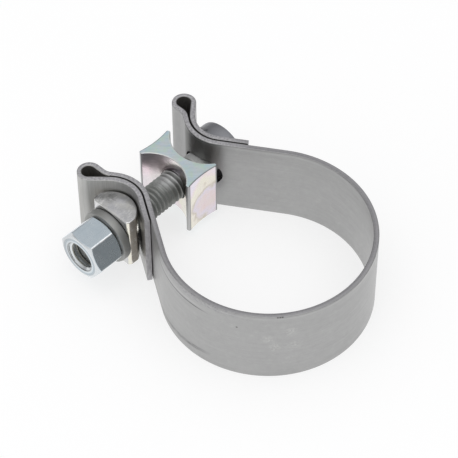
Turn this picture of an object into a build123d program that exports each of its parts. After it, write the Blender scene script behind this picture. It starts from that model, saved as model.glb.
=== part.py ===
from build123d import *
import math
import os

# A single-bolt flat-band exhaust clamp, in millimetres.
# The origin is the centre of the pipe bore, on the band's lower edge.
# +Z runs along the pipe, +Y points from the bore to the bolt, and +X to the bolt's head.

# The band
bore_diameter = 71.0
band_thickness = 1.9
band_width = 31.75

# The lugs: each is the band's own end, folded back on itself into two plies
lug_spread = 57.4        # from one pocket's axis to the other's, along the bolt
bolt_reach = 10.4        # from the outside of the ring to the bolt's axis
pocket_radius = 10.4     # the hollow that holds the half-moon
ply_gap = 0.3            # what the fold leaves between its two plies
neck_lean = 34.0         # degrees by which the neck leans outwards below the loop
neck_run = 2.8           # straight part of the leaning neck
neck_radius = 4.0        # bend at the top of the neck
neck_rise = 2.85         # straight part between that bend and the loop
loop_bore = 4.3          # the eye that the fold leaves open
tail_length = 10.7       # straight end of the inner ply, past the pocket
slot_length = 16.0       # along the lug
slot_play = 0.9          # slot width over the bolt's diameter
slot_drop = 1.6          # the slot's middle lies this far below the bolt

# The bolt
bolt_diameter = 11.11
thread_pitch = 1.814
hole_play = 0.8          # plain holes over the bolt's diameter
thread_play = 0.05       # radial room between the bolt and the nut's thread
bolt_recess = 3.5        # the bolt's end stays this far inside the nut
head_diameter = 20.8
head_depth = 10.8        # along the bolt, from the seat to the crown
head_crown = 1.4         # the back is domed by this much
head_ease = 0.5          # radius of the head's seat under the pocket's
head_edge = 0.8          # rounding of the head's rim

# The saddle, a half-moon
saddle_height = 22.3
saddle_width = 17.4
saddle_depth = 9.4       # from the round back to the flat face
saddle_ease = 0.7        # radius of its back under the pocket's
saddle_edge = 0.7        # chamfer down the sides of the flat face
seat_gap = 0.3           # between a half-moon and its pocket

# The washer and the nut
washer_diameter = 20.3
washer_thickness = 3.5
washer_edge = 0.8        # rounding of its rim
nut_across_flats = 17.1
nut_length = 11.75
nut_turn = 5.0           # degrees by which two corners stand off the lug's direction
nut_countersink = 0.7    # at each mouth of the thread

# The reaction block between the lugs
block_length = 14.6      # along the bolt
block_width = 24.7
block_height = 23.4
block_web = 3.4          # what the two hollows leave between them
block_hollow = 13.4      # radius of the hollows, a little tighter than the lugs' backs
block_waist = 0.8        # depth of the shallow hollows in the other two sides
block_corner = 1.1       # rounding of its four long corners
block_offset = 5.2       # the block rests this far from the middle, towards the head

# Sizes that follow
half_thickness = band_thickness / 2
ring_middle = bore_diameter / 2 + half_thickness
ring_outside = bore_diameter / 2 + band_thickness
bolt_y = ring_outside + bolt_reach
bolt_z = band_width / 2
pocket = Vector(lug_spread / 2, bolt_y)
inner_ply = pocket_radius + half_thickness
outer_ply = inner_ply + band_thickness + ply_gap
loop_middle = loop_bore / 2 + half_thickness
bolt_radius = bolt_diameter / 2
hole_radius = bolt_radius + hole_play / 2
seat_apex = lug_spread / 2 - pocket_radius + seat_gap
saddle_face = seat_apex + saddle_depth
washer_face = saddle_face + washer_thickness
nut_face = washer_face + nut_length


def polar(angle):
    """A unit vector at an angle in degrees."""
    return Vector(math.cos(math.radians(angle)), math.sin(math.radians(angle)))


def bolt_plane(x):
    """The plane across the bolt's axis at x, facing +X, with its own X axis along the lug."""
    return Plane(origin=(x, bolt_y, bolt_z), x_dir=(0, 1, 0), z_dir=(1, 0, 0))


def along_bolt(x_from, x_to, radius):
    """A round bar or hole on the bolt's axis."""
    return extrude(bolt_plane(x_from) * Circle(radius), x_to - x_from)


# The folded strip
# Half of the band is one run of straights and bends, from the bottom of the ring to the
# free end of the inner ply. Shifted by half a thickness each way, it is the strip's outline.

flank_angle = math.degrees(
    math.atan2(pocket.Y, pocket.X)
    - math.acos((ring_middle + outer_ply) / pocket.length)
)
neck_middle = neck_radius + half_thickness
lean_angle = 180 - neck_lean
neck_foot = pocket + polar(lean_angle) * outer_ply
neck_top = neck_foot + polar(90 - neck_lean) * neck_run
neck_bend = neck_top - polar(-neck_lean) * neck_middle
loop_centre = neck_bend + Vector(neck_middle + loop_middle, neck_rise)

# The inner ply crosses from the loop's bend to the pocket's along their inner tangent
crossing = pocket - loop_centre
crossing_heading = (
    360 + math.degrees(math.atan2(crossing.Y, crossing.X))
    - math.degrees(math.asin((loop_middle + inner_ply) / crossing.length))
)


def strip_run(shift):
    """The edges of half the strip, shifted to the left of its direction of travel."""
    flank = polar(flank_angle)
    heel = 180 + flank_angle
    loop_end = crossing_heading + 90 - 360
    crossing_end = crossing_heading - 90
    down = polar(flank_angle - 90)
    ring = CenterArc((0, 0), ring_middle - shift, -90, 90 + flank_angle)
    pocket_back = CenterArc(pocket, outer_ply + shift, heel, lean_angle - heel)
    neck = CenterArc(neck_bend, neck_middle - shift, -neck_lean, neck_lean)
    loop = CenterArc(loop_centre, loop_middle + shift, 180, loop_end - 180)
    pocket_front = CenterArc(pocket, inner_ply - shift, crossing_end, heel - crossing_end)
    tail_start = pocket - flank * (inner_ply - shift)
    return [
        ring,
        Line(ring @ 1, pocket_back @ 0),
        pocket_back,
        Line(pocket_back @ 1, neck @ 0),
        neck,
        Line(neck @ 1, loop @ 0),
        loop,
        Line(loop @ 1, pocket_front @ 0),
        pocket_front,
        Line(tail_start, tail_start + down * tail_length),
    ]


def band():
    """One strip: a round ring whose two ends are folded into lugs, each with a slot."""
    left = strip_run(half_thickness)
    right = strip_run(-half_thickness)
    ends = [Line(left[0] @ 0, right[0] @ 0), Line(left[-1] @ 1, right[-1] @ 1)]
    half = extrude(make_face(left + right + ends), band_width)
    slot_width = bolt_diameter + slot_play
    slot = bolt_plane(0) * Pos(-slot_drop, 0) * SlotOverall(slot_length, slot_width)
    half -= extrude(slot, lug_spread / 2)
    return half + mirror(half, about=Plane.YZ)


def half_moon(radius, width, depth, height):
    """A round-backed bar that lies in the head's pocket, centred on the bolt's axis."""
    centre = seat_apex + radius
    disc = Pos(centre, bolt_y) * Circle(radius)
    behind = Pos(centre + depth / 2, bolt_y) * Rectangle(depth, 2 * radius)
    frame = Pos(seat_apex + depth / 2, bolt_y) * Rectangle(depth, width)
    return Pos(0, 0, bolt_z - height / 2) * extrude((disc + behind) & frame, height)


def turned_head():
    """The head before its seat is cut: a disc about the bolt's axis with a domed back."""
    rim = head_diameter / 2
    crown = seat_apex + head_depth
    dome_radius = (rim**2 + head_crown**2) / (2 * head_crown)
    dome_angle = math.degrees(math.asin(rim / dome_radius))
    back = CenterArc((crown - dome_radius, 0), dome_radius, 0, dome_angle)
    sides = Polyline(back @ 1, (seat_apex, rim), (seat_apex, 0), back @ 0)
    profile = make_face([back] + sides.edges())
    corner = profile.vertices().sort_by_distance(back @ 1)[0]
    profile = Plane(origin=(0, bolt_y, bolt_z)) * fillet(corner, head_edge)
    return revolve(profile, axis=Axis((0, bolt_y, bolt_z), (1, 0, 0)))


def bolt():
    """A threaded shank with a round head, half a cylinder on its seat and domed behind."""
    seat = half_moon(pocket_radius - head_ease, head_diameter, head_depth, head_diameter)
    head = turned_head() & seat
    tip = -nut_face + bolt_recess
    shank = along_bolt(tip, seat_apex + head_depth / 2, bolt_radius)
    tip_edge = shank.edges().filter_by(GeomType.CIRCLE).sort_by(Axis.X)[0]
    return chamfer(tip_edge, thread_pitch / 2) + head


def saddle():
    """The half-moon in the nut's pocket, bored for the bolt."""
    solid = half_moon(pocket_radius - saddle_ease, saddle_width, saddle_depth, saddle_height)
    face_edges = solid.faces().sort_by(Axis.X)[-1].edges().filter_by(Axis.Z)
    solid = mirror(chamfer(face_edges, saddle_edge), about=Plane.YZ)
    return solid - along_bolt(-saddle_face, -seat_apex, hole_radius)


def washer():
    """A thick plain washer with a rounded rim."""
    ring = along_bolt(-washer_face, -saddle_face, washer_diameter / 2)
    ring = fillet(ring.edges().filter_by(GeomType.CIRCLE), washer_edge)
    return ring - along_bolt(-washer_face, -saddle_face, hole_radius)


def hex_nut():
    """A hexagon nut with its corners turned off at both ends and a countersunk bore."""
    half_flats = nut_across_flats / 2
    corner_radius = half_flats / math.cos(math.radians(30))
    corner_depth = (corner_radius - half_flats) * math.tan(math.radians(30))
    hexagon = Rot(0, 0, nut_turn) * RegularPolygon(corner_radius, 6)
    blank = extrude(bolt_plane(-nut_face) * hexagon, nut_length)
    turned = along_bolt(-nut_face, -washer_face, corner_radius)
    for end in (-nut_face, -washer_face):
        rim = turned.edges().filter_by(GeomType.CIRCLE).sort_by_distance((end, bolt_y, bolt_z))[0]
        flat_end = turned.faces().filter_by(Axis.X).sort_by_distance((end, bolt_y, bolt_z))[0]
        turned = chamfer(rim, corner_radius - half_flats, corner_depth, reference=flat_end)
    nut = (blank & turned) - along_bolt(-nut_face, -washer_face, bolt_radius + thread_play)
    mouths = nut.edges().filter_by(GeomType.CIRCLE)
    mouths = mouths.filter_by(lambda edge: abs(edge.radius - bolt_radius - thread_play) < 0.001)
    return chamfer(mouths, nut_countersink)


def reaction_block():
    """The spacer between the lugs, hollowed on two sides to fit round their backs."""
    waist = ((block_length / 2) ** 2 + block_waist**2) / (2 * block_waist)
    plan = RectangleRounded(block_length, block_width, block_corner)
    for side in (-1, 1):
        plan -= Pos(side * (block_web / 2 + block_hollow), 0) * Circle(block_hollow)
        plan -= Pos(0, side * (block_width / 2 - block_waist + waist)) * Circle(waist)
    block = Pos(block_offset, bolt_y, bolt_z - block_height / 2) * extrude(plan, block_height)
    x_from = block_offset - block_length / 2
    return block - along_bolt(x_from, x_from + block_length, hole_radius)


pieces = {
    "band": band,
    "reaction_block": reaction_block,
    "bolt": bolt,
    "saddle": saddle,
    "washer": washer,
    "hex_nut": hex_nut,
}

os.makedirs("parts", exist_ok=True)
for name, make in pieces.items():
    export_step(make(), f"parts/{name}.step")
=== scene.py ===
import math

import bmesh
import bpy
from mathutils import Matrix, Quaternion, Vector


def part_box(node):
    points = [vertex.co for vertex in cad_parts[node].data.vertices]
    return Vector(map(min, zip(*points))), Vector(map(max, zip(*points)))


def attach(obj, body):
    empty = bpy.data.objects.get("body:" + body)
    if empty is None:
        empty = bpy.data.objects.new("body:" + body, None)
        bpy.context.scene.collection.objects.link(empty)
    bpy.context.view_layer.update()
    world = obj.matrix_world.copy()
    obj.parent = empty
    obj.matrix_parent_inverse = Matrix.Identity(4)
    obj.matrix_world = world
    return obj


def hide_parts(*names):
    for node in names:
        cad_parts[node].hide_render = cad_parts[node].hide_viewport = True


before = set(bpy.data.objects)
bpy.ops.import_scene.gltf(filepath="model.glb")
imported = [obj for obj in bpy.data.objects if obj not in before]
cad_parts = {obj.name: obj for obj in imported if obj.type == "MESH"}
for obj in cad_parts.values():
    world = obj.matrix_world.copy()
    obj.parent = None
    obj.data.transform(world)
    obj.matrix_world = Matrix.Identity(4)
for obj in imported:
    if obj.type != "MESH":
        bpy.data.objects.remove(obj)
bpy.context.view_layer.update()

# A single-bolt flat-band exhaust clamp. Sizes are in millimetres in the frame's own axes:
# +Z along the pipe, +Y from the bore to the bolt, +X to the bolt's head. Meshes are in metres.
MM = 0.001


def box_mm(node):
    """A CAD node's lowest and highest corners."""
    low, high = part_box(node)
    return low / MM, high / MM


band_low, band_high = box_mm("band")
block_low, block_high = box_mm("reaction_block")
bolt_low, bolt_high = box_mm("bolt")
saddle_low, saddle_high = box_mm("saddle")
washer_low, washer_high = box_mm("washer")
nut_low, nut_high = box_mm("hex_nut")

# The band and its folded lugs
band_thickness = 1.9
band_width = band_high.z
ring_outside = -band_low.y
lug_spread = 57.4        # from one pocket's axis to the other's
pocket_radius = 10.4
ply_gap = 0.3
neck_lean = 34.0         # degrees by which the neck leans outwards below the loop
neck_radius = 4.0
near_loop = {"neck_run": 2.0, "neck_rise": 3.4, "loop_bore": 4.9}
far_loop = {"neck_run": 2.8, "neck_rise": 2.1, "loop_bore": 5.0}
loop_thinning = 0.2      # share of the strip's thickness lost round the loop
tail_length = 10.7
slot_length = 16.0
slot_width = 12.01
slot_drop = 1.6          # the slot's middle lies this far below the bolt
edge_round = 0.3
burnished_share = 0.45   # of the sheared edge, where the blade cut

# The zones of the strip: its skin, the two parts of its sheared edges, and the fold. A column
# is a place in the strip's section, and a reach is measured from the pocket's axis.
skin, burnished, torn, dirty, stained = range(5)
torn_columns = {3, 4, 16, 17}
burnished_columns = {5, 15}
# Columns over the rounded edges on the fold's side, where shade is painted
dirty_columns = {7, 8, 12, 13}
stained_columns = {9, 10, 11}
dirty_reach = 17
stained_reach = 15
loop_start = 9           # beyond the bolt's axis

# The bolt, and what is on it
bolt_y = (washer_low.y + washer_high.y) / 2
bolt_z = (washer_low.z + washer_high.z) / 2
bolt_radius = 5.555
thread_pitch = 1.814
thread_depth = 0.541 * thread_pitch   # five eighths of a sharp thread's height
thread_play = 0.05
hole_radius = 5.955
seat_gap = 0.3           # between a half-moon and its pocket
head_ease = 0.5          # radius of the head's seat under the pocket's
head_crown = 1.4
head_edge = 0.8
saddle_ease = 0.7
saddle_chamfer = 0.9
washer_edge = 0.9
pocket = Vector((lug_spread / 2, bolt_y))

# Dried paste on the bolt: where it lies thickest, how far it runs, and how full it is
paste_x, paste_length = -1.8, 6.0
paste_angle, paste_spread = 98.0, 48.0
paste_fill = 0.75

# The nut
nut_across_flats = 17.1
nut_turn = 5.0           # degrees by which two corners stand off the lug's direction
nut_bore = 4.66
nut_countersink = 6.0
nut_land = 0.93          # share of the half width at which the chamfers start
nut_chamfer_angle = 30.0
nut_edge = 0.16
corner_blunting = 0.12
corner_blend = 0.3

# The reaction block
block_width = 24.7
block_web = 3.4
block_hollow = 13.4
block_waist = 0.8
block_corner = 1.1
block_edge = 0.25

# Steps along curves, and how far a cutter runs past the piece that it cuts
facet = 0.9
seat_facet = 0.5
corner_facet = 0.15
wide_bend = 8.0          # tighter bends get a third of the step
round_columns = 96
overshoot = 1.0


def polar(angle):
    """A unit vector at an angle in degrees."""
    return Vector((math.cos(math.radians(angle)), math.sin(math.radians(angle))))


# Meshes

def new_piece(name, bm):
    """Turns a mesh drawn in millimetres into an object in metres with outward faces."""
    weld = 0.0005
    bmesh.ops.remove_doubles(bm, verts=bm.verts, dist=weld)
    bmesh.ops.dissolve_degenerate(bm, edges=bm.edges, dist=weld)
    bmesh.ops.recalc_face_normals(bm, faces=bm.faces)
    bmesh.ops.scale(bm, vec=(MM, MM, MM), verts=bm.verts)
    mesh = bpy.data.meshes.new(name)
    bm.to_mesh(mesh)
    bm.free()
    piece = bpy.data.objects.new(name, mesh)
    bpy.context.scene.collection.objects.link(piece)
    return piece


def applied(piece):
    """Applies a piece's modifiers to its mesh."""
    bpy.context.view_layer.update()
    shape = piece.evaluated_get(bpy.context.evaluated_depsgraph_get())
    mesh = bpy.data.meshes.new_from_object(shape)
    piece.modifiers.clear()
    piece.data = mesh


def combined(piece, other, operation):
    """Cuts, joins or intersects a piece with another mesh, which is used up."""
    boolean = piece.modifiers.new("combined", "BOOLEAN")
    boolean.operation = operation
    boolean.solver = "EXACT"
    boolean.object = other
    applied(piece)
    bpy.data.objects.remove(other)
    return piece


def smoothed(piece, sharp_angle=38.0):
    """Shades a piece smooth, except across edges that are really sharp."""
    bm = bmesh.new()
    bm.from_mesh(piece.data)
    for face in bm.faces:
        face.smooth = True
    sharp = math.radians(sharp_angle)
    for edge in bm.edges:
        edge.smooth = len(edge.link_faces) == 2 and edge.calc_face_angle() < sharp
    bm.to_mesh(piece.data)
    bm.free()
    weighted = piece.modifiers.new("weighted_normals", "WEIGHTED_NORMAL")
    weighted.keep_sharp = True
    return piece


def grid(bm, rows, closed=True, material=lambda row, column: 0):
    """Skins neighbouring rows of vertices, which all have one length."""
    columns = len(rows[0])
    for r in range(len(rows) - 1):
        for c in range(columns if closed else columns - 1):
            d = (c + 1) % columns
            corners = [rows[r][c], rows[r][d], rows[r + 1][d], rows[r + 1][c]]
            bm.faces.new(corners).material_index = material(r, c)


def prism(outline, low, high, place=lambda u, v, w: (u, v, w)):
    """A solid with this outline between two levels."""
    bm = bmesh.new()
    rows = [[bm.verts.new(place(u, v, level)) for u, v in outline] for level in (low, high)]
    grid(bm, rows)
    bm.faces.new(rows[0])
    bm.faces.new(rows[1])
    return bm


def across_x(u, v, w):
    """Lays an outline across the bolt's direction."""
    return w, u, v


def outward(outline, shift):
    """Moves a closed outline outwards all along."""
    moved = []
    for i, point in enumerate(outline):
        along = (outline[(i + 1) % len(outline)] - outline[i - 1]).normalized()
        moved.append(point + Vector((along.y, -along.x)) * shift)
    return moved


def rounded_corners(outline, cut, nearly_straight=165.0):
    """Rounds the corners of a closed outline."""
    soft = []
    for i, corner in enumerate(outline):
        before = outline[i - 1] - corner
        after = outline[(i + 1) % len(outline)] - corner
        if before.angle(after) > math.radians(nearly_straight):
            soft.append(corner)
            continue
        near = corner + before.normalized() * min(cut, before.length / 2)
        far = corner + after.normalized() * min(cut, after.length / 2)
        soft += [near, (near + 2 * corner + far) / 4, far]
    return soft


def eased_prism(outline, low, high, ease):
    """A solid with this outline between two levels, with the edges of both ends rounded off."""
    bm = bmesh.new()
    rows = []
    for level, side in ((low, 1), (high, -1)):
        steps = []
        for angle in (0, 30, 60, 90):
            turn = polar(angle) * ease
            steps.append((level + side * (ease - turn.x), turn.y - ease))
        rows += steps if side == 1 else reversed(steps)
    rows = [[bm.verts.new((*p, z)) for p in outward(outline, inset)] for z, inset in rows]
    grid(bm, rows)
    bm.faces.new(rows[0])
    bm.faces.new(rows[-1])
    return bm


def soften(points, cut):
    """Replaces each inner corner of an open line by three points that round it."""
    soft = [points[0]]
    for before, corner, after in zip(points, points[1:], points[2:]):
        a, b, c = Vector(before), Vector(corner), Vector(after)
        near = b + (a - b).normalized() * min(cut, (a - b).length / 2)
        far = b + (c - b).normalized() * min(cut, (c - b).length / 2)
        soft += [near, (near + 2 * b + far) / 4, far]
    return soft + [points[-1]]


def add_turned(bm, profile, columns=round_columns):
    """Adds the skin that an (x, radius) profile makes about the bolt's axis."""
    rows = []
    for x, radius in profile:
        spokes = [polar(360 * c / columns) * radius for c in range(columns)]
        rows.append([bm.verts.new((x, bolt_y + s.x, bolt_z + s.y)) for s in spokes])
    grid(bm, rows)


def turned(profile, columns=round_columns):
    """A solid of revolution about the bolt's axis, from a profile that starts and ends there."""
    bm = bmesh.new()
    add_turned(bm, profile, columns)
    return bm


def bored(piece, low, high):
    """Drills the bolt's plain hole through a piece that lies between these ends."""
    low, high = low - overshoot, high + overshoot
    bar = turned([(low, 0), (low, hole_radius), (high, hole_radius), (high, 0)])
    return combined(piece, new_piece("bore_cutter", bar), "DIFFERENCE")


def arc(centre, radius, start, sweep, step=facet):
    """Points along an arc."""
    count = max(2, math.ceil(abs(math.radians(sweep)) * radius / step))
    return [Vector(centre) + polar(start + sweep * i / count) * radius for i in range(count + 1)]


# The band: one strip, swept along its middle line

def strip_stations(neck_run, neck_rise, loop_bore):
    """Points, headings and shares of the full thickness down the middle of half the strip, from
    the ring to the inner ply's end. Bending has thinned the loop."""
    half = band_thickness / 2
    ring_middle = ring_outside - half
    inner_ply = pocket_radius + half
    outer_ply = inner_ply + band_thickness + ply_gap
    loop_middle = loop_bore / 2 + half
    neck_middle = neck_radius + half
    lean_angle = 180 - neck_lean
    reach = math.degrees(math.acos((ring_middle + outer_ply) / pocket.length))
    flank_angle = math.degrees(math.atan2(pocket.y, pocket.x)) - reach
    heel = 180 + flank_angle
    neck_top = pocket + polar(lean_angle) * outer_ply + polar(90 - neck_lean) * neck_run
    neck_bend = neck_top - polar(-neck_lean) * neck_middle
    loop_centre = neck_bend + Vector((neck_middle + loop_middle, neck_rise))
    crossing = pocket - loop_centre
    slant = math.degrees(math.asin((loop_middle + inner_ply) / crossing.length))
    crossing_heading = 360 + math.degrees(math.atan2(crossing.y, crossing.x)) - slant
    loop_end = crossing_heading + 90 - 360
    front_start = crossing_heading - 90
    runs = [
        ((0, 0), ring_middle, -90, 90 + flank_angle),
        (pocket, outer_ply, heel, lean_angle - heel),
        (neck_bend, neck_middle, -neck_lean, neck_lean),
        (loop_centre, loop_middle, 180, loop_end - 180),
        (pocket, inner_ply, front_start, heel - front_start),
    ]
    stations = []
    down = polar(flank_angle - 90) * tail_length
    fold_mouth = pocket + polar(heel) * outer_ply + down
    for centre, radius, start, sweep in runs:
        if centre is pocket and sweep < 0:
            stations.append((fold_mouth, flank_angle + 90, 1))
        points = arc(centre, radius, start, sweep, facet if radius > wide_bend else facet / 3)
        turn = 90 if sweep > 0 else -90
        for i, point in enumerate(points):
            share = i / (len(points) - 1)
            thinning = loop_thinning * math.sin(math.pi * share) if centre is loop_centre else 0
            stations.append((point, start + sweep * share + turn, 1 - thinning))
    return stations + [(stations[-1][0] + down, flank_angle - 90, 1)]


def strip_section():
    """The strip's section as (across, up) points, its edges rounded, with a point where the
    burnished part of each sheared edge ends."""
    half = band_thickness / 2
    support = 2.5 * edge_round
    burnish = half - edge_round - burnished_share * (band_thickness - 2 * edge_round)
    top = [(half, band_width - support)]
    for i in range(4):
        spoke = polar(30 * i) * edge_round
        top.append((half - edge_round + spoke.x, band_width - edge_round + spoke.y))
    top.append((burnish, band_width))
    for i in range(4):
        spoke = polar(90 + 30 * i) * edge_round
        top.append((-half + edge_round + spoke.x, band_width - edge_round + spoke.y))
    top.append((-half, band_width - support))
    bottom = [(across, band_width - up) for across, up in reversed(top)]
    return top + bottom


def band_piece():
    """The ring with both folded lugs, and a slot through both plies of each."""
    far_half = strip_stations(**far_loop)
    near_half = [(Vector((-point.x, point.y)), -heading, thick)
                 for point, heading, thick in reversed(strip_stations(**near_loop)[1:])]
    stations = near_half + far_half
    section = strip_section()
    bm = bmesh.new()
    rows = []
    for point, heading, thick in stations:
        left = polar(heading + 90) * thick
        rows.append([bm.verts.new((*(point + left * across), up)) for across, up in section])

    def zone(row, column):
        point = (stations[row][0] + stations[row + 1][0]) / 2
        away = (Vector((abs(point.x), point.y)) - pocket).length
        in_loop = point.y > bolt_y + loop_start
        if column in dirty_columns and away < dirty_reach and not in_loop:
            return dirty
        if column in stained_columns and (away < stained_reach or in_loop):
            return stained
        if column in torn_columns:
            return torn
        return burnished if column in burnished_columns else skin

    grid(bm, rows, material=zone)
    ends = [bm.faces.new(rows[0]), bm.faces.new(rows[-1])]
    for end in ends:
        end.material_index = torn
    bmesh.ops.recalc_face_normals(bm, faces=bm.faces)
    band = new_piece("clamp_band", bm)
    slot = []
    for side, start in ((1, -90), (-1, 90)):
        centre = (bolt_y - slot_drop + side * (slot_length - slot_width) / 2, bolt_z)
        slot += arc(centre, slot_width / 2, start, 180, seat_facet)
    cutter = new_piece("slot_cutter", prism(slot, -pocket.x, pocket.x, across_x))
    return smoothed(combined(band, cutter, "DIFFERENCE"))


# The reaction block

def block_outline():
    """A bar section with rounded corners, hollowed on two sides and waisted on the other two."""
    half_length = (block_high.x - block_low.x) / 2
    half_width = block_width / 2
    waist_radius = (half_length**2 + block_waist**2) / (2 * block_waist)
    waist = Vector((0, half_width - block_waist + waist_radius))
    hollow = Vector((block_web / 2 + block_hollow, 0))
    corner = Vector((half_length - block_corner, half_width - block_corner))
    horn = math.degrees(math.acos((hollow.x - half_length) / block_hollow))
    rounding = arc(corner, block_corner, 0, 90, corner_facet)
    rounding = [p for p in rounding if (p - waist).length > waist_radius]
    reach = math.degrees(math.asin(rounding[-1].x / waist_radius))
    quarter = arc(hollow, block_hollow, 180, -horn) + rounding
    quarter += arc(waist, waist_radius, reach - 90, -reach)[1:]
    upper = quarter + [Vector((-p.x, p.y)) for p in reversed(quarter[:-1])]
    outline = upper + [Vector((p.x, -p.y)) for p in reversed(upper[1:-1])]
    centre = Vector((block_low.x + half_length, bolt_y))
    return [centre + p for p in outline]


def block_piece():
    """The hollowed spacer, with its edges eased and its bore."""
    outline = rounded_corners(block_outline(), block_edge)
    bm = eased_prism(outline, block_low.z, block_high.z, block_edge)
    return smoothed(bored(new_piece("spacer_block", bm), block_low.x, block_high.x))


# The bolt

def thread_drop(x, angle, crest=0.125, flank=0.625):
    """How far the thread has fallen from its crest at a place on the bolt, from 0 to 1. The
    crest and each flank are shares of half a turn."""
    turn = (x / thread_pitch - angle / 360) % 1
    away = abs(turn - 0.5) * 2
    return min(max((away - crest) / flank, 0), 1)


def thread_rows(bm, low, high, columns, radius_at, rows_per_turn=16):
    """Rows that climb along the thread, held between its two ends."""
    turns = math.ceil((high - low) / thread_pitch) + 1
    rows = []
    for k in range(turns * rows_per_turn + 1):
        row = []
        for c in range(columns + 1):
            angle = 360 * c / columns
            x = low + (k / rows_per_turn - 1 + angle / 360) * thread_pitch
            x = min(max(x, low), high)
            spoke = polar(angle) * radius_at(x, angle)
            row.append(bm.verts.new((x, bolt_y + spoke.x, bolt_z + spoke.y)))
        rows.append(row)
    return rows


def bolt_shank():
    """The threaded end, its roots part filled with dried paste on top, and the plain neck."""
    tip_radius = bolt_radius - thread_depth - 0.1
    run_out = block_high.x - 4        # where the thread starts to fade into the neck
    thread_end = run_out + 2.5 * thread_pitch
    neck_end = bolt_high.x - 5        # inside the head

    def radius_at(x, angle):
        fade = min(max((thread_end - x) / (thread_end - run_out), 0), 1)
        along = (x - paste_x) / paste_length
        around = (angle - paste_angle) / paste_spread
        paste = max(0, 1 - along**2 - around**2)
        depth = thread_depth * fade * (1 - paste_fill * paste)
        return min(bolt_radius - depth * thread_drop(x, angle), tip_radius + (x - bolt_low.x))

    bm = bmesh.new()
    grid(bm, thread_rows(bm, bolt_low.x, thread_end, round_columns, radius_at), closed=False)
    add_turned(bm, [(bolt_low.x, tip_radius), (bolt_low.x, 0)])
    add_turned(bm, [(thread_end, bolt_radius), (neck_end, bolt_radius), (neck_end, 0)])
    return new_piece("threaded_bolt", bm)


def half_moon(radius, apex, depth, width, chamfer):
    """A round-backed outline whose back points along +X at the apex, flat at the other end."""
    rim = math.degrees(math.asin(width / 2 / radius))
    back = arc((apex - radius, bolt_y), radius, -rim, 2 * rim, seat_facet)
    flat = apex - depth
    side = width / 2
    front = [(flat + chamfer, bolt_y + side), (flat, bolt_y + side - chamfer)]
    front += [(flat, bolt_y - side + chamfer), (flat + chamfer, bolt_y - side)]
    return back + [Vector(p) for p in front]


def bolt_piece():
    """The bolt with its round head, domed behind and half a cylinder on its seat."""
    rim = (bolt_high.z - bolt_low.z) / 2
    crown = bolt_high.x
    seat = lug_spread / 2 - pocket_radius + seat_gap
    seat_radius = pocket_radius - head_ease
    dome_radius = (rim**2 + head_crown**2) / (2 * head_crown)
    dome_angle = math.degrees(math.asin(rim / dome_radius))
    short_of_rim = 1.5                # degrees left for the rounded rim
    back = arc((crown - dome_radius, 0), dome_radius, 0, dome_angle - short_of_rim, head_edge)
    dome_foot = crown - head_crown
    rim_edge = soften([back[-1], (dome_foot, rim), (dome_foot - 2, rim)], head_edge)
    profile = back + rim_edge[1:] + [(seat, rim), (seat, 0)]
    head = new_piece("head_blank", turned(profile))
    outline = arc((seat + seat_radius, bolt_y), seat_radius, 90, 180, seat_facet)
    behind = crown + overshoot
    outline += [(behind, bolt_y - seat_radius), (behind, bolt_y + seat_radius)]
    wide = seat_radius + 2 * overshoot
    seat_cutter = new_piece("seat_cutter", prism(outline, bolt_z - wide, bolt_z + wide))
    combined(head, seat_cutter, "INTERSECT")
    bolt = combined(bolt_shank(), head, "UNION")
    head_start = (seat - 0.5) * MM    # the shank's finish ends just short of the seat
    for face in bolt.data.polygons:
        face.material_index = int(face.center.x > head_start)
    return smoothed(bolt)


# The saddle, the washer and the nut

def saddle_piece():
    """The half-moon in the nut's pocket."""
    corner_cut = 0.45
    end_ease = 0.55
    size = saddle_high - saddle_low
    radius = pocket_radius - saddle_ease
    outline = half_moon(radius, saddle_high.x, size.x, size.y, saddle_chamfer)
    outline = rounded_corners(outline, corner_cut)
    bm = eased_prism(outline, saddle_low.z, saddle_high.z, end_ease)
    return smoothed(bored(new_piece("half_moon_saddle", bm), saddle_low.x, saddle_high.x))


def washer_piece():
    """A thick plain washer with a rounded rim."""
    rim = (washer_high.z - washer_low.z) / 2
    low, high = washer_low.x, washer_high.x
    rim_columns = 128
    on_the_face = (low, 8)
    loop = [on_the_face, (low, rim), (high, rim), (high, hole_radius), (low, hole_radius),
            on_the_face]
    return smoothed(new_piece("plain_washer", turned(soften(loop, washer_edge), rim_columns)))


def nut_piece():
    """A tall hexagon nut, chamfered at both ends, with a countersunk thread."""
    columns = 2 * round_columns
    low, high = nut_low.x, nut_high.x
    length = high - low
    half_flats = nut_across_flats / 2
    land = half_flats * nut_land
    corner = half_flats / math.cos(math.radians(30)) - corner_blunting
    thread_height = bolt_radius + thread_play - nut_bore

    def hexagon(angle):
        away = (angle - nut_turn) % 60 - 30
        flat = half_flats / math.cos(math.radians(away))
        share = min(max(0.5 + (corner - flat) / corner_blend, 0), 1)
        return flat * share + corner * (1 - share) - corner_blend / 2 * share * (1 - share)

    def bore_at(x, angle):
        thread = nut_bore + thread_height * (1 - thread_drop(x, angle, crest=0.25))
        return max(thread, nut_countersink - (x - low), nut_countersink - (high - x))

    bm = bmesh.new()
    inside = thread_rows(bm, low, high, columns, bore_at)
    grid(bm, inside, closed=False, material=lambda row, column: 1)
    rows = []
    for c in range(columns):
        angle = 360 * c / columns
        radius = hexagon(angle)
        depth = (radius - land) * math.tan(math.radians(nut_chamfer_angle))
        line = [(0, nut_countersink), (0, land), (depth, radius)]
        line += [(length - depth, radius), (length, land), (length, nut_countersink)]
        spoke = polar(angle)
        row = []
        for x, r in soften(line, nut_edge):
            row.append(bm.verts.new((low + x, bolt_y + spoke.x * r, bolt_z + spoke.y * r)))
        rows.append(row)
    rows.append(rows[0])
    grid(bm, rows, closed=False)
    return smoothed(new_piece("hexagon_nut", bm))


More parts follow.
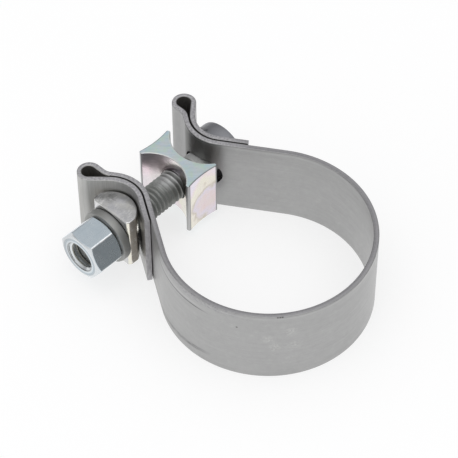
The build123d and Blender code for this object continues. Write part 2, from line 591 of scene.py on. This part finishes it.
pieces = {
    "band": (band_piece(), "clamp", "band_steel"),
    "reaction_block": (block_piece(), "block", "block_steel"),
    "bolt": (bolt_piece(), "clamp", "bolt_steel"),
    "saddle": (saddle_piece(), "saddle", "saddle_steel"),
    "washer": (washer_piece(), "washer", "washer_steel"),
    "hex_nut": (nut_piece(), "nut", "nut_steel"),
}
for node, (piece, body, slot) in pieces.items():
    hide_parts(node)
    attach(piece, body)


# Materials

def linear(code):
    """An sRGB hex colour as linear values, with full alpha."""
    shares = [int(code[i:i + 2], 16) / 255 for i in (1, 3, 5)]
    return [s / 12.92 if s <= 0.04045 else ((s + 0.055) / 1.055) ** 2.4 for s in shares] + [1.0]


def add_node(tree, kind, inputs=(), **settings):
    """Adds a shader node with its settings, and a value or a link for each input named."""
    made = tree.nodes.new("ShaderNode" + kind)
    for name, value in settings.items():
        setattr(made, name, value)
    for socket, value in dict(inputs).items():
        if isinstance(value, bpy.types.NodeSocket):
            tree.links.new(value, made.inputs[socket])
        else:
            made.inputs[socket].default_value = value
    return made


def number(tree, operation, first, second=0.0):
    """A number worked out from one or two others."""
    return add_node(tree, "Math", {0: first, 1: second}, operation=operation).outputs[0]


def vector(tree, operation, first, second=(0, 0, 0)):
    """A vector worked out from one or two others."""
    return add_node(tree, "VectorMath", {0: first, 1: second}, operation=operation).outputs[0]


def measured(tree, operation, first, second=(0, 0, 0)):
    """A distance or a dot product of two vectors, as one number."""
    made = add_node(tree, "VectorMath", {0: first, 1: second}, operation=operation)
    return made.outputs["Value"]


def axes(tree, value):
    """The three parts of a vector."""
    return add_node(tree, "SeparateXYZ", {0: value}).outputs


def ramp(tree, value, low, high):
    """From 0 where a value is at low to 1 where it is at high."""
    span = {"Value": value, "From Min": low, "From Max": high}
    return add_node(tree, "MapRange", span).outputs[0]


def overlap(tree, mask, *others):
    """Where all of these masks lie over each other."""
    for other in others:
        mask = number(tree, "MULTIPLY", mask, other)
    return mask


def blank_material(name):
    """An empty material, its tree, and the piece's own coordinates in millimetres."""
    material = bpy.data.materials.new(name)
    material.use_nodes = True
    tree = material.node_tree
    tree.nodes.clear()
    own = add_node(tree, "TexCoord").outputs["Object"]
    place = add_node(tree, "VectorMath", {0: own, "Scale": 1 / MM}, operation="SCALE")
    return material, tree, place.outputs[0]


def patches(tree, place, size, contrast=0.2, detail=3.0, middle=0.5):
    """Soft patches of this size in millimetres each way, from 0 to 1. Less contrast is crisper,
    and a higher middle leaves fewer of them."""
    shrunk = vector(tree, "MULTIPLY", place, [1 / s for s in size])
    cloud = add_node(tree, "TexNoise", {
        "Vector": shrunk, "Scale": 1.0, "Detail": detail, "Roughness": 0.6})
    return ramp(tree, cloud.outputs[0], middle - contrast, middle + contrast)


def spots(tree, place, points, radius):
    """Round marks at the named places, from 1 in the middle to 0 at this radius."""
    marks = 0.0
    for point in points:
        mark = ramp(tree, measured(tree, "DISTANCE", place, point), radius, 0.0)
        marks = number(tree, "MAXIMUM", mark, marks)
    return marks


def facing(tree):
    """How far the surface faces along each axis, from 0 to 1."""
    normal = add_node(tree, "NewGeometry").outputs["Normal"]
    return axes(tree, vector(tree, "ABSOLUTE", normal))


def from_bolt_axis(tree, place):
    """The distance from the bolt's axis in millimetres."""
    across = vector(tree, "MULTIPLY", place, (0, 1, 1))
    return measured(tree, "DISTANCE", across, (0, bolt_y, bolt_z))


def from_upright(tree, place, x=0.0, y=0.0):
    """The distance from an upright line, which is the ring's axis unless another is named."""
    flat = vector(tree, "MULTIPLY", place, (1, 1, 0))
    return measured(tree, "DISTANCE", flat, (x, y, 0))


def level_line(tree, place, level, width, climb=0.0):
    """A line along the strip at this height, which may climb towards -Y."""
    height = measured(tree, "DOT_PRODUCT", place, (0, climb, 1))
    away = number(tree, "ABSOLUTE", number(tree, "SUBTRACT", height, level))
    return ramp(tree, away, width, width * 0.4)


def tinted(tree, colour, tints):
    """Lays tints over a colour, each as far as its mask and its strength say."""
    for mask, tint, strength in tints:
        share = overlap(tree, mask, strength)
        tint = linear(tint) if isinstance(tint, str) else tint
        colour = linear(colour) if isinstance(colour, str) else colour
        mixed = add_node(tree, "Mix", {0: share, 6: colour, 7: tint}, data_type="RGBA")
        colour = mixed.outputs[2]
    return colour


def metal(material, tree, colour, gloss, dull, dulling, relief, bare=1.0):
    """Bare or plated metal: roughness runs from gloss to dull where dulling says, and relief
    lists heights with their depths in millimetres. Under grime or an oil film the metal is less
    than wholly bare."""
    roughness = add_node(tree, "MapRange", {"Value": dulling, "To Min": gloss, "To Max": dull})
    normal = None
    for height, depth in relief:
        inputs = {"Height": height, "Distance": depth * MM}
        if normal:
            inputs["Normal"] = normal
        normal = add_node(tree, "Bump", inputs).outputs[0]
    shader = add_node(tree, "BsdfPrincipled", {
        "Base Color": colour, "Metallic": bare, "Roughness": roughness.outputs[0],
        "Normal": normal})
    add_node(tree, "OutputMaterial", {"Surface": shader.outputs[0]})
    return material


# Marks on the band, read off the photograph's near side
rub_marks = [
    (-25.6, -27.2, 16.3), (-20.2, -31.4, 16.2), (-21.6, -30.5, 23.5), (-27.3, -25.6, 20.0)]
nick_marks = [
    (-33.3, -17.0, 24.9), (-25.1, -27.7, 31.6), (-24.5, -28.2, 31.6), (-23.9, -28.7, 31.6)]
left_flank = (-35.5, 9, 15)      # the middle of its scratched part
scratch_level = 26.6             # and the heights of its marks
lip_level = 27.7
streak_level = 4.2


def cold_rolled_stainless():
    """Ferritic stainless strip, cold rolled and pickled: an even satin grey with faint lines along
    the strip, and a painted highlight on the walls just under the top edge. Painted shade darkens
    the outer wall under the rim on the left. Bending left marks across the lugs and paled the near
    one's front, and painted shade darkens the far one's back where the block bears on it. Handling
    left pale rubs, a few dark nicks, and a scratch along the left flank."""
    material, tree, place = blank_material("cold_rolled_stainless")
    spaced = axes(tree, place)
    rolling = patches(tree, place, (16, 16, 0.6), 0.3, 4.0)
    fine_rolling = patches(tree, place, (5, 5, 0.14), 0.3, 2.0)
    grain = patches(tree, place, (0.5, 0.5, 0.7), 0.3, 2.0)
    cloud = patches(tree, place, (11, 11, 8), 0.25)
    mottle = patches(tree, place, (2.2, 2.2, 2.0), 0.25, 5.0)

    # Handling
    # Patches that break up both the handling marks and the painted shade under the rim
    scuffs = patches(tree, place, (0.8, 0.8, 0.5), 0.1, 4.0, 0.54)
    stray_rubs = overlap(tree, patches(tree, place, (3.2, 3.2, 2.2), 0.1, 4.0, 0.64), scuffs)
    rubs = overlap(tree, spots(tree, place, rub_marks, 2.9), scuffs)
    nicks = spots(tree, place, nick_marks, 0.5)

    # The lugs
    up_the_flank = ramp(tree, spaced["Y"], 8, 24)
    near_side = ramp(tree, spaced["X"], -14, -20)
    across_the_lug = patches(tree, place, (0.7, 0.7, 14), 0.2, 3.0)
    bend_marks = overlap(tree, up_the_flank, near_side, across_the_lug)
    past_the_bolt = ramp(tree, spaced["Y"], bolt_y, bolt_y + 5)
    lug_front = overlap(tree, past_the_bolt, ramp(tree, spaced["X"], -17, -21))
    # Painted shade on the far lug's back where the block bears on it, below the neck
    bearing_radius = pocket_radius + 2 * band_thickness + ply_gap + 0.2
    from_far_pocket = from_upright(tree, place, pocket.x, pocket.y)
    on_the_bearing = ramp(tree, from_far_pocket, bearing_radius + 0.9, bearing_radius)
    below_the_neck = ramp(tree, spaced["Y"], bolt_y + 7.8, bolt_y + 6.6)
    smear = ramp(tree, spaced["Y"], bolt_y - 7.8, bolt_y + 4.2)
    block_smear = overlap(tree, on_the_bearing, smear, below_the_neck)

    # The edges and the left flank
    outside = ramp(tree, from_upright(tree, place), ring_outside - 0.5, ring_outside - 0.3)
    left = ramp(tree, spaced["X"], -30, -36)
    along_the_edge = patches(tree, place, (7, 7, 2), 0.25)
    # Painted highlight along the walls just under the top edge, broken up along its length
    rolled_edge = overlap(tree, level_line(tree, place, band_width - 1.1, 0.4), along_the_edge)
    # Painted shade on the outer wall just under the rim on the left, broken up in patches
    near_the_rim = ramp(tree, spaced["Z"], band_width - 2.6, band_width - 1.8)
    under_rim = overlap(tree, outside, left, near_the_rim, scuffs)
    flank_part = ramp(tree, spots(tree, place, [left_flank], 20), 0.0, 0.2)
    flank_part = overlap(tree, outside, flank_part)
    scratch = overlap(tree, flank_part, level_line(tree, place, scratch_level, 0.42))
    pale_lip = overlap(tree, flank_part, level_line(tree, place, lip_level, 0.7))
    streak = overlap(tree, flank_part, level_line(tree, place, streak_level, 1.1, 0.1))
    streak = overlap(tree, streak, patches(tree, place, (2.5, 2.5, 0.6), 0.2, 4.0, 0.45))

    bent = ramp(tree, spaced["Y"], bolt_y, bolt_y + 8)
    dulling = overlap(tree, number(tree, "MAXIMUM", rolling, bent), 0.53)
    dulling = number(tree, "MAXIMUM", dulling, lug_front)
    colour = tinted(tree, "#A3A3A3", [
        (rolling, "#979797", 0.3), (fine_rolling, "#ABABAA", 0.15), (grain, "#939393", 0.3),
        (cloud, "#959595", 0.45), (mottle, "#ADADAC", 0.35), (lug_front, "#CCCCCA", 0.8),
        (bend_marks, "#84837E", 0.35), (stray_rubs, "#BDBDBC", 0.3),
        (block_smear, "#51524E", 0.65), (rolled_edge, "#C6C6C6", 0.3),
        (under_rim, "#7C7A80", 0.55), (rubs, "#D2D1CE", 0.42), (pale_lip, "#C4C4C4", 0.25),
        (streak, "#666667", 0.8), (scratch, "#5F5F60", 0.8), (nicks, "#2F2C2A", 0.9)])
    return metal(material, tree, colour, 0.34, 0.64, dulling, [(rolling, 0.004), (grain, 0.002)])


def sheared_edge(name, colour, dark, gloss, dull):
    """The strip's slit edge: a burnished zone where the blade cut, and a duller zone where the
    metal tore, both with short marks across the strip. Bending left it paler and more marked on
    the lugs."""
    material, tree, place = blank_material(name)
    marks = patches(tree, place, (0.8, 0.8, 2.0), 0.14, 4.0)
    on_lugs = ramp(tree, axes(tree, place)["Y"], 30, 40)
    cloud = patches(tree, place, (5, 5, 5), 0.2)
    colour = tinted(tree, colour, [
        (on_lugs, "#D8D7D9", 0.7), (marks, dark, 0.25),
        (overlap(tree, marks, on_lugs), dark, 0.5), (cloud, "#B4B3B5", 0.25)])
    return metal(material, tree, colour, gloss, dull, marks, [(marks, 0.02)])


def fold_dirt():
    """Painted shade in the fold between the plies, over the strip's rounded edge: dull and
    nearly black."""
    material, tree, place = blank_material("fold_dirt")
    dust = patches(tree, place, (1.2, 1.2, 1.2), 0.25)
    colour = tinted(tree, "#2B2B2D", [(dust, "#3C3B3B", 0.5)])
    return metal(material, tree, colour, 0.5, 0.7, dust, [(dust, 0.01)], 0.3)


def stained_inside():
    """The inside of the fold, where the oil of the press stayed and dried: a dim brownish grey."""
    material, tree, place = blank_material("stained_inside")
    stain = patches(tree, place, (2.5, 2.5, 6), 0.2, 4.0)
    colour = tinted(tree, "#8E8C89", [(stain, "#66635F", 0.6)])
    return metal(material, tree, colour, 0.45, 0.6, stain, [(stain, 0.01)], 0.8)


# The passive film on the block's sides: a pool low on the ring's side, its tints outwards, how
# far a ripple draws them out of round, and two rose marks near the sawn end
pool_centre = (8.5, 35.5, 11.5)
pool_reach = 30.0
film_tints = [
    (0.0, "#CEC1BA"), (3.5, "#D2BEC0"), (6.2, "#CCC4D6"), (7.6, "#C3B9B8"), (8.4, "#B3A994"),
    (10.0, "#DED8C6"), (12.5, "#E0DDC9"), (14.5, "#E2D2D2"), (17.0, "#DED6E8"), (20.0, "#E4E4DC"),
    (23.0, "#F0E8EC"), (30.0, "#EDE7F6")]
film_drift = 13.0
rose_marks = [(0, 59, 21), (0, 53, 22.5)]


def film_colour(tree, place):
    """The film's tint at a place: rings round the pool, drawn out of round by a slow ripple."""
    ripple = add_node(tree, "TexNoise", {
        "Vector": place, "Scale": 0.16, "Detail": 3.0, "Roughness": 0.5})
    drift = vector(tree, "SUBTRACT", ripple.outputs["Color"], (0.5, 0.5, 0.5))
    moved = vector(tree, "ADD", place, vector(tree, "MULTIPLY", drift, (film_drift,) * 3))
    from_pool = measured(tree, "DISTANCE", moved, pool_centre)
    film = add_node(tree, "ValToRGB", {"Fac": ramp(tree, from_pool, 0, pool_reach)})
    stops = film.color_ramp.elements
    for radius, code in film_tints[1:-1]:
        stops.new(radius / pool_reach)
    for stop, (radius, code) in zip(stops, film_tints):
        stop.color = linear(code)
    return film.outputs[0]


def clear_zinc_on_drawn_bar():
    """Drawn steel bar, zinc plated and passivated. The film's thickness tints the drawn sides
    like oil on water: a lilac pool inside a tan rim, cream round it, then rose and white. The
    rounded corners took less of it and are grey, partly as a painted reflection, between lines of
    painted shade. The sawn ends are blue-green in soft blotches, with fine scores left by the
    blade, a painted highlight round the hollows and painted shade along the waisted sides."""
    material, tree, place = blank_material("passivated_zinc_on_drawn_bar")
    sawn = ramp(tree, facing(tree)["Z"], 0.7, 0.85)

    # Places on the section, folded into one quarter of it
    centre = ((block_low.x + block_high.x) / 2, bolt_y, 0)
    quarter = vector(tree, "ABSOLUTE", vector(tree, "SUBTRACT", place, centre))
    quarter = vector(tree, "MULTIPLY", quarter, (1, 1, 0))
    half_length = (block_high.x - block_low.x) / 2
    waist_radius = (half_length**2 + block_waist**2) / (2 * block_waist)
    waist = (0, block_width / 2 - block_waist + waist_radius, 0)
    # Painted shade on the sawn ends along each waisted side
    from_waist = measured(tree, "DISTANCE", quarter, waist)
    burr = overlap(tree, sawn, ramp(tree, from_waist, waist_radius + 0.45, waist_radius + 0.2))
    hollow = (block_web / 2 + block_hollow, 0, 0)
    # Painted highlight on the sawn ends round each hollow
    from_hollow = measured(tree, "DISTANCE", quarter, hollow)
    lip = overlap(tree, sawn, ramp(tree, from_hollow, block_hollow + 0.7, block_hollow + 0.35))

    # Each long corner: the strip beyond the hollow's horn, and lines of painted shade on both sides
    horn_reach = block_width / 2 - block_corner
    horn = ramp(tree, axes(tree, quarter)["Y"], horn_reach - 0.45, horn_reach - 0.35)
    slant = measured(tree, "DOT_PRODUCT", quarter, (-1, 1, 0))
    # The corner's grey is partly thinner film and partly a painted reflection of darker
    # surroundings
    corner = overlap(tree, horn, ramp(tree, slant, 5.9, 5.8))
    inside = overlap(tree, ramp(tree, slant, 3.75, 4.1), ramp(tree, slant, 5.65, 5.3))
    seam = overlap(tree, corner, number(tree, "SUBTRACT", 1.0, inside))

    rose = spots(tree, place, rose_marks, 7.0)
    cloud = patches(tree, place, (3.2, 3.2, 3.2), 0.12, 4.0)
    blotch = patches(tree, place, (5, 5, 5), 0.1, 3.0, 0.52)
    haze = patches(tree, place, (2.4, 2.4, 4), 0.2, 5.0)
    speckle = patches(tree, place, (0.6, 0.6, 0.6), 0.3, 3.0)
    draw_lines = patches(tree, place, (0.5, 0.5, 9), 0.3, 3.0)
    slanted = add_node(tree, "VectorRotate", {"Vector": place, "Angle": math.radians(45)},
                       rotation_type="Z_AXIS")
    scores = patches(tree, slanted.outputs[0], (8, 0.45, 8), 0.25, 3.0)
    ends = tinted(tree, "#C4DCEA", [
        (cloud, "#CDE4CF", 0.9), (blotch, "#E0DCE4", 0.6), (scores, "#A6B8BE", 0.45),
        (speckle, "#E4EEEE", 0.25), (lip, "#E2E4DC", 0.5)])
    colour = tinted(tree, film_colour(tree, place), [
        (rose, "#F6D3DE", 0.85), (haze, "#CFC7C8", 0.45), (draw_lines, "#E4E2E0", 0.25),
        (speckle, "#CCC9C7", 0.25), (corner, "#ACADAD", 0.95), (seam, "#6E6E6F", 0.7),
        (sawn, ends, 1.0), (burr, "#5C605F", 0.8)])
    dulling = number(tree, "MAXIMUM", sawn, corner)
    return metal(material, tree, colour, 0.19, 0.36, dulling, [(cloud, 0.01), (draw_lines, 0.002)])


def bright_zinc():
    """A nut turned from drawn hexagon bar, zinc plated with a blue passivate: bright and cool,
    softly clouded, with a painted highlight along the corners, lighter on the turned chamfers,
    and with a fine turning mark round each end, dimmer on the side away from the ring."""
    material, tree, place = blank_material("blue_passivated_zinc")
    radius = from_bolt_axis(tree, place)
    along = facing(tree)["X"]
    end = ramp(tree, along, 0.7, 0.8)
    spangle = patches(tree, place, (1.6, 1.6, 1.6), 0.35, 3.0)
    cloud = patches(tree, place, (3.2, 3.2, 3.2), 0.2, 4.0)
    drawn = patches(tree, place, (7, 0.5, 0.5), 0.3, 3.0)
    turning = add_node(tree, "TexNoise", {"W": radius, "Scale": 2.2, "Detail": 2.0},
                       noise_dimensions="1D")
    turning = overlap(tree, end, ramp(tree, turning.outputs[0], 0.45, 0.6))
    # Painted highlight along the hexagon's corners, broken up in patches
    wear = patches(tree, place, (4, 4, 4), 0.15, 3.0, 0.47)
    on_the_corner = ramp(tree, radius, 9.62, 9.72)
    rubbed_corner = overlap(tree, on_the_corner, ramp(tree, along, 0.5, 0.3), wear)
    chamfer = overlap(tree, end, ramp(tree, radius, 7.5, 7.7))
    mark = overlap(tree, ramp(tree, radius, 7.3, 7.45), ramp(tree, radius, 7.7, 7.55))
    lip = overlap(tree, ramp(tree, radius, 6.6, 6.35), ramp(tree, along, 0.5, 0.7))
    far_side = overlap(tree, end, ramp(tree, axes(tree, place)["Y"], bolt_y + 1, bolt_y + 8))
    colour = tinted(tree, "#BAC5CD", [
        (spangle, "#A4AFB6", 0.15), (cloud, "#D0D8DC", 0.5), (drawn, "#A4AFB6", 0.3),
        (turning, "#8F989C", 0.6), (chamfer, "#D6D8D9", 0.7), (lip, "#DADEDF", 0.6),
        (mark, "#7C8285", 0.55), (far_side, "#8F8E90", 0.4), (rubbed_corner, "#FAFBFC", 0.9)])
    return metal(material, tree, colour, 0.22, 0.3, cloud, [(cloud, 0.008), (drawn, 0.002)])


def tapped_zinc():
    """The nut's thread: the same zinc, thin in the cut, grey with an olive cast further in, pale
    at the mouth and dark round its rim."""
    material, tree, place = blank_material("tapped_zinc_thread")
    radius = from_bolt_axis(tree, place)
    mouth = ramp(tree, radius, 4.9, 5.05)
    rim = ramp(tree, radius, 5.6, 5.75)
    cloud = patches(tree, place, (1.8, 1.8, 1.8), 0.25)
    colour = tinted(tree, "#7B7B74", [
        (cloud, "#8E8E88", 0.4), (mouth, "#D8DCDE", 0.9), (rim, "#46494B", 0.6)])
    return metal(material, tree, colour, 0.28, 0.4, cloud, [(cloud, 0.004)])


# The middle of the dried paste on top of the bolt, and how far its tint reaches
paste_spot = (-0.8, bolt_y + 0.5, bolt_z + bolt_radius)
paste_reach = 5.4


def dull_zinc_thread():
    """A rolled thread under dull zinc and a film of dusty oil: soft olive grey, and lighter
    along the top where dried paste fills it. Inside the block's hollow its roots carry painted
    shade and its crests a painted highlight, and the neck beyond it is dark with oil."""
    material, tree, place = blank_material("oiled_zinc_thread")
    grime = patches(tree, place, (2.2, 2.2, 2.2), 0.22, 4.0)
    speckle = patches(tree, place, (0.4, 0.4, 0.4), 0.25)
    along = axes(tree, place)["X"]
    radius = from_bolt_axis(tree, place)
    paste = ramp(tree, spots(tree, place, [paste_spot], paste_reach), 0.1, 0.7)
    paste = overlap(tree, paste, patches(tree, place, (3, 3, 3), 0.3, 4.0, 0.4))
    in_the_hollow = ramp(tree, along, -2, 1)
    # Painted shade in the thread's roots and a painted highlight on its crests, inside the hollow
    roots = overlap(tree, ramp(tree, radius, bolt_radius - 0.1, bolt_radius - 0.7), in_the_hollow)
    crests = overlap(tree, ramp(tree, radius, bolt_radius - 0.3, bolt_radius - 0.08), in_the_hollow)
    neck = ramp(tree, along, 11.0, 13.0)
    colour = tinted(tree, "#9C9E9C", [
        (neck, "#575857", 0.7), (grime, "#878984", 0.5), (speckle, "#AAABA8", 0.3),
        (paste, "#C6C7C9", 0.6), (roots, "#3E3F3E", 0.5), (crests, "#D8D9D8", 0.7)])
    return metal(material, tree, colour, 0.52, 0.66, grime, [(speckle, 0.01)], 0.65)


# Where the shadow of the gap between the far lug's ply and the head is painted on the head
crease_marks = [(22.3, 51.7, 25.5), (22.9, 51.1, 25.6)]


def dull_zinc_head():
    """The bolt's forged head, zinc plated: even cool satin grey with the fine grain of the die,
    and a small painted shadow where the gap to the far lug's ply falls on it."""
    material, tree, place = blank_material("dull_zinc_head")
    grain = patches(tree, place, (0.35, 0.35, 0.35), 0.3)
    cloud = patches(tree, place, (3.5, 3.5, 3.5), 0.22, 4.0)
    crease = spots(tree, place, crease_marks, 1.0)
    colour = tinted(tree, "#8F9095", [
        (grain, "#84868A", 0.35), (cloud, "#989899", 0.4), (crease, "#4A4B4F", 0.8)])
    return metal(material, tree, colour, 0.38, 0.5, grain, [(cloud, 0.02), (grain, 0.004)])


# Where shade is painted on the saddle's top
torn_marks = [(-26.0, 55.6, 27), (-23.5, 56.3, 27), (-23.3, 51.8, 27)]


def yellowed_zinc():
    """Zinc plating on a sheared bar, yellowed in places: softly dented and mottled, so that it
    mirrors its surroundings in light and dark patches, with a painted highlight on its rounded
    corners. Painted shade darkens part of the top."""
    material, tree, place = blank_material("yellowed_zinc_on_sheared_bar")
    along, across, up = facing(tree)
    # Painted highlight on the rounded upright corners
    corner = ramp(tree, overlap(tree, along, across), 0.3, 0.45)
    rolled_over = ramp(tree, overlap(tree, along, up), 0.1, 0.3)
    warm_side = ramp(tree, across, 0.75, 0.9)
    dents = patches(tree, place, (3.2, 3.2, 4.0), 0.4, 3.0)
    yellowing = patches(tree, place, (5, 5, 7), 0.2)
    mottle = patches(tree, place, (2.6, 2.6, 2.6), 0.14, 5.0, 0.5)
    # Painted shade on part of the top, broken up in patches
    dark_end = ramp(tree, spots(tree, place, torn_marks, 3.2), 0.1, 0.6)
    dark_end = overlap(tree, dark_end, patches(tree, place, (1.3, 1.3, 1.3), 0.15, 4.0, 0.46))
    speckle = patches(tree, place, (0.5, 0.5, 0.5), 0.3)
    rubs = patches(tree, place, (2.2, 0.9, 1.4), 0.08, 4.0, 0.62)
    colour = tinted(tree, "#D8D8DA", [
        (yellowing, "#C2C0AA", 0.5), (mottle, "#A2A3A7", 0.5), (dark_end, "#5F615E", 0.7),
        (speckle, "#8B8C8A", 0.15), (dents, "#CFCFD6", 0.4), (warm_side, "#C9BDAC", 0.6),
        (rubs, "#E9E9E7", 0.7), (rolled_over, "#C9C9C4", 0.4), (corner, "#E4E1D4", 0.9)])
    return metal(material, tree, colour, 0.16, 0.3, speckle, [(dents, 0.06), (mottle, 0.01)])


def tumbled_zinc():
    """A thick stamped washer, its rim turned and then tumbled and zinc plated: an even mid grey
    with faint turning lines round the rim and a breath of yellow."""
    material, tree, place = blank_material("tumbled_zinc")
    turning = patches(tree, place, (0.3, 7, 7), 0.3, 3.0)
    cloud = patches(tree, place, (3, 3, 3), 0.25, 4.0)
    yellowing = patches(tree, place, (5, 5, 5), 0.2)
    speckle = patches(tree, place, (0.5, 0.5, 0.5), 0.3)
    colour = tinted(tree, "#9D9E9E", [
        (turning, "#8B8C8C", 0.5), (cloud, "#A6A7A7", 0.35), (yellowing, "#9D9C90", 0.4),
        (speckle, "#B4B5B4", 0.2)])
    return metal(material, tree, colour, 0.52, 0.64, turning, [(turning, 0.008), (cloud, 0.015)])


# One finish for each zone of a piece, in the order of its zones
finishes = {
    "band": [
        cold_rolled_stainless(),
        sheared_edge("burnished_edge", "#A6A5A7", "#86858A", 0.3, 0.42),
        sheared_edge("torn_edge", "#99989A", "#79787C", 0.4, 0.55),
        fold_dirt(),
        stained_inside(),
    ],
    "reaction_block": [clear_zinc_on_drawn_bar()],
    "bolt": [dull_zinc_thread(), dull_zinc_head()],
    "saddle": [yellowed_zinc()],
    "washer": [tumbled_zinc()],
    "hex_nut": [bright_zinc(), tapped_zinc()],
}
# Clearing a mesh's materials also clears its faces' zones, so these are kept and set again
for node, coats in finishes.items():
    mesh = pieces[node][0].data
    zones = [face.material_index for face in mesh.polygons]
    mesh.materials.clear()
    for coat in coats:
        mesh.materials.append(coat)
    for face, zone in zip(mesh.polygons, zones):
        face.material_index = min(zone, len(coats) - 1)


# The camera, at the photograph's viewing angle
camera_place = Vector((-347.5, -315.2, 580.1)) * MM
camera_aim = Vector((11.00, 28.82, 0.0)) * MM
camera_roll = -0.23
camera = bpy.data.objects.new("camera", bpy.data.cameras.new("camera"))
camera.data.lens = 168.7
camera.data.sensor_width = 36.0
camera.data.clip_start = 0.01
camera.location = camera_place
camera.rotation_mode = "QUATERNION"
looking = (camera_aim - camera_place).to_track_quat("-Z", "Y")
camera.rotation_quaternion = looking @ Quaternion((0, 0, 1), math.radians(camera_roll))
bpy.context.scene.collection.objects.link(camera)
bpy.context.scene.camera = camera


# The stage and the light
bpy.context.scene.view_settings.view_transform = "Standard"


def seen_directly(tree, path):
    """1 for what the camera sees itself, and 0 for what lights the clamp."""
    return number(tree, "MAXIMUM", path["Is Camera Ray"], path["Is Transmission Ray"])


def floor_piece():
    """A wide white studio floor. It glows a little where the camera sees it, and more in the
    metal's reflections, so that both are as bright as in the photograph."""
    seen_glow = 0.7
    mirrored_glow = 0.9
    bm = bmesh.new()
    bmesh.ops.create_circle(bm, cap_ends=True, segments=64, radius=6.0)
    mesh = bpy.data.meshes.new("floor")
    bm.to_mesh(mesh)
    bm.free()
    floor = bpy.data.objects.new("floor", mesh)
    bpy.context.scene.collection.objects.link(floor)
    material, tree, _ = blank_material("white_floor")
    path = add_node(tree, "LightPath").outputs
    direct = number(tree, "MULTIPLY", seen_directly(tree, path), seen_glow)
    mirrored = number(tree, "MULTIPLY", path["Is Glossy Ray"], mirrored_glow)
    paint = add_node(tree, "BsdfPrincipled", {
        "Base Color": linear("#9E9E9E"), "Roughness": 0.9, "Specular IOR Level": 0.0,
        "Emission Color": linear("#FFFFFF"),
        "Emission Strength": number(tree, "MAXIMUM", direct, mirrored)})
    add_node(tree, "OutputMaterial", {"Surface": paint.outputs[0]})
    mesh.materials.append(material)


def studio_light():
    """A white room, dimmer towards the horizon but for a window on the nut's side, and one large
    soft lamp overhead."""
    world = bpy.data.worlds.new("studio")
    bpy.context.scene.world = world
    world.use_nodes = True
    tree = world.node_tree
    tree.nodes.clear()
    direction = axes(tree, add_node(tree, "TexCoord").outputs["Generated"])
    tones = add_node(tree, "ValToRGB", {"Fac": direction["Z"]})
    stops = tones.color_ramp.elements
    stops[0].position, stops[0].color = 0.0, linear("#747476")
    stops[1].position, stops[1].color = 1.0, linear("#FFFFFF")
    stops.new(0.35).color = linear("#A8A8AA")
    stops.new(0.75).color = linear("#DCDCDD")
    window = ramp(tree, direction["X"], -0.6, -0.95)
    seen = seen_directly(tree, add_node(tree, "LightPath").outputs)
    colour = tinted(tree, tones.outputs[0], [(window, "#F4F4F4", 1.0), (seen, "#FFFFFF", 1.0)])
    light = add_node(tree, "Background", {"Color": colour, "Strength": 1.0})
    add_node(tree, "OutputWorld", {"Surface": light.outputs[0]})
    lamp = bpy.data.lights.new("softbox", "AREA")
    lamp.shape = "RECTANGLE"
    lamp.size = 2.0
    lamp.size_y = 1.6
    lamp.energy = 6.5
    softbox = bpy.data.objects.new("softbox", lamp)
    softbox.location = (-0.2, -0.3, 1.6)
    softbox.rotation_mode = "QUATERNION"
    softbox.rotation_quaternion = (-softbox.location).to_track_quat("-Z", "Y")
    bpy.context.scene.collection.objects.link(softbox)


floor_piece()
studio_light()
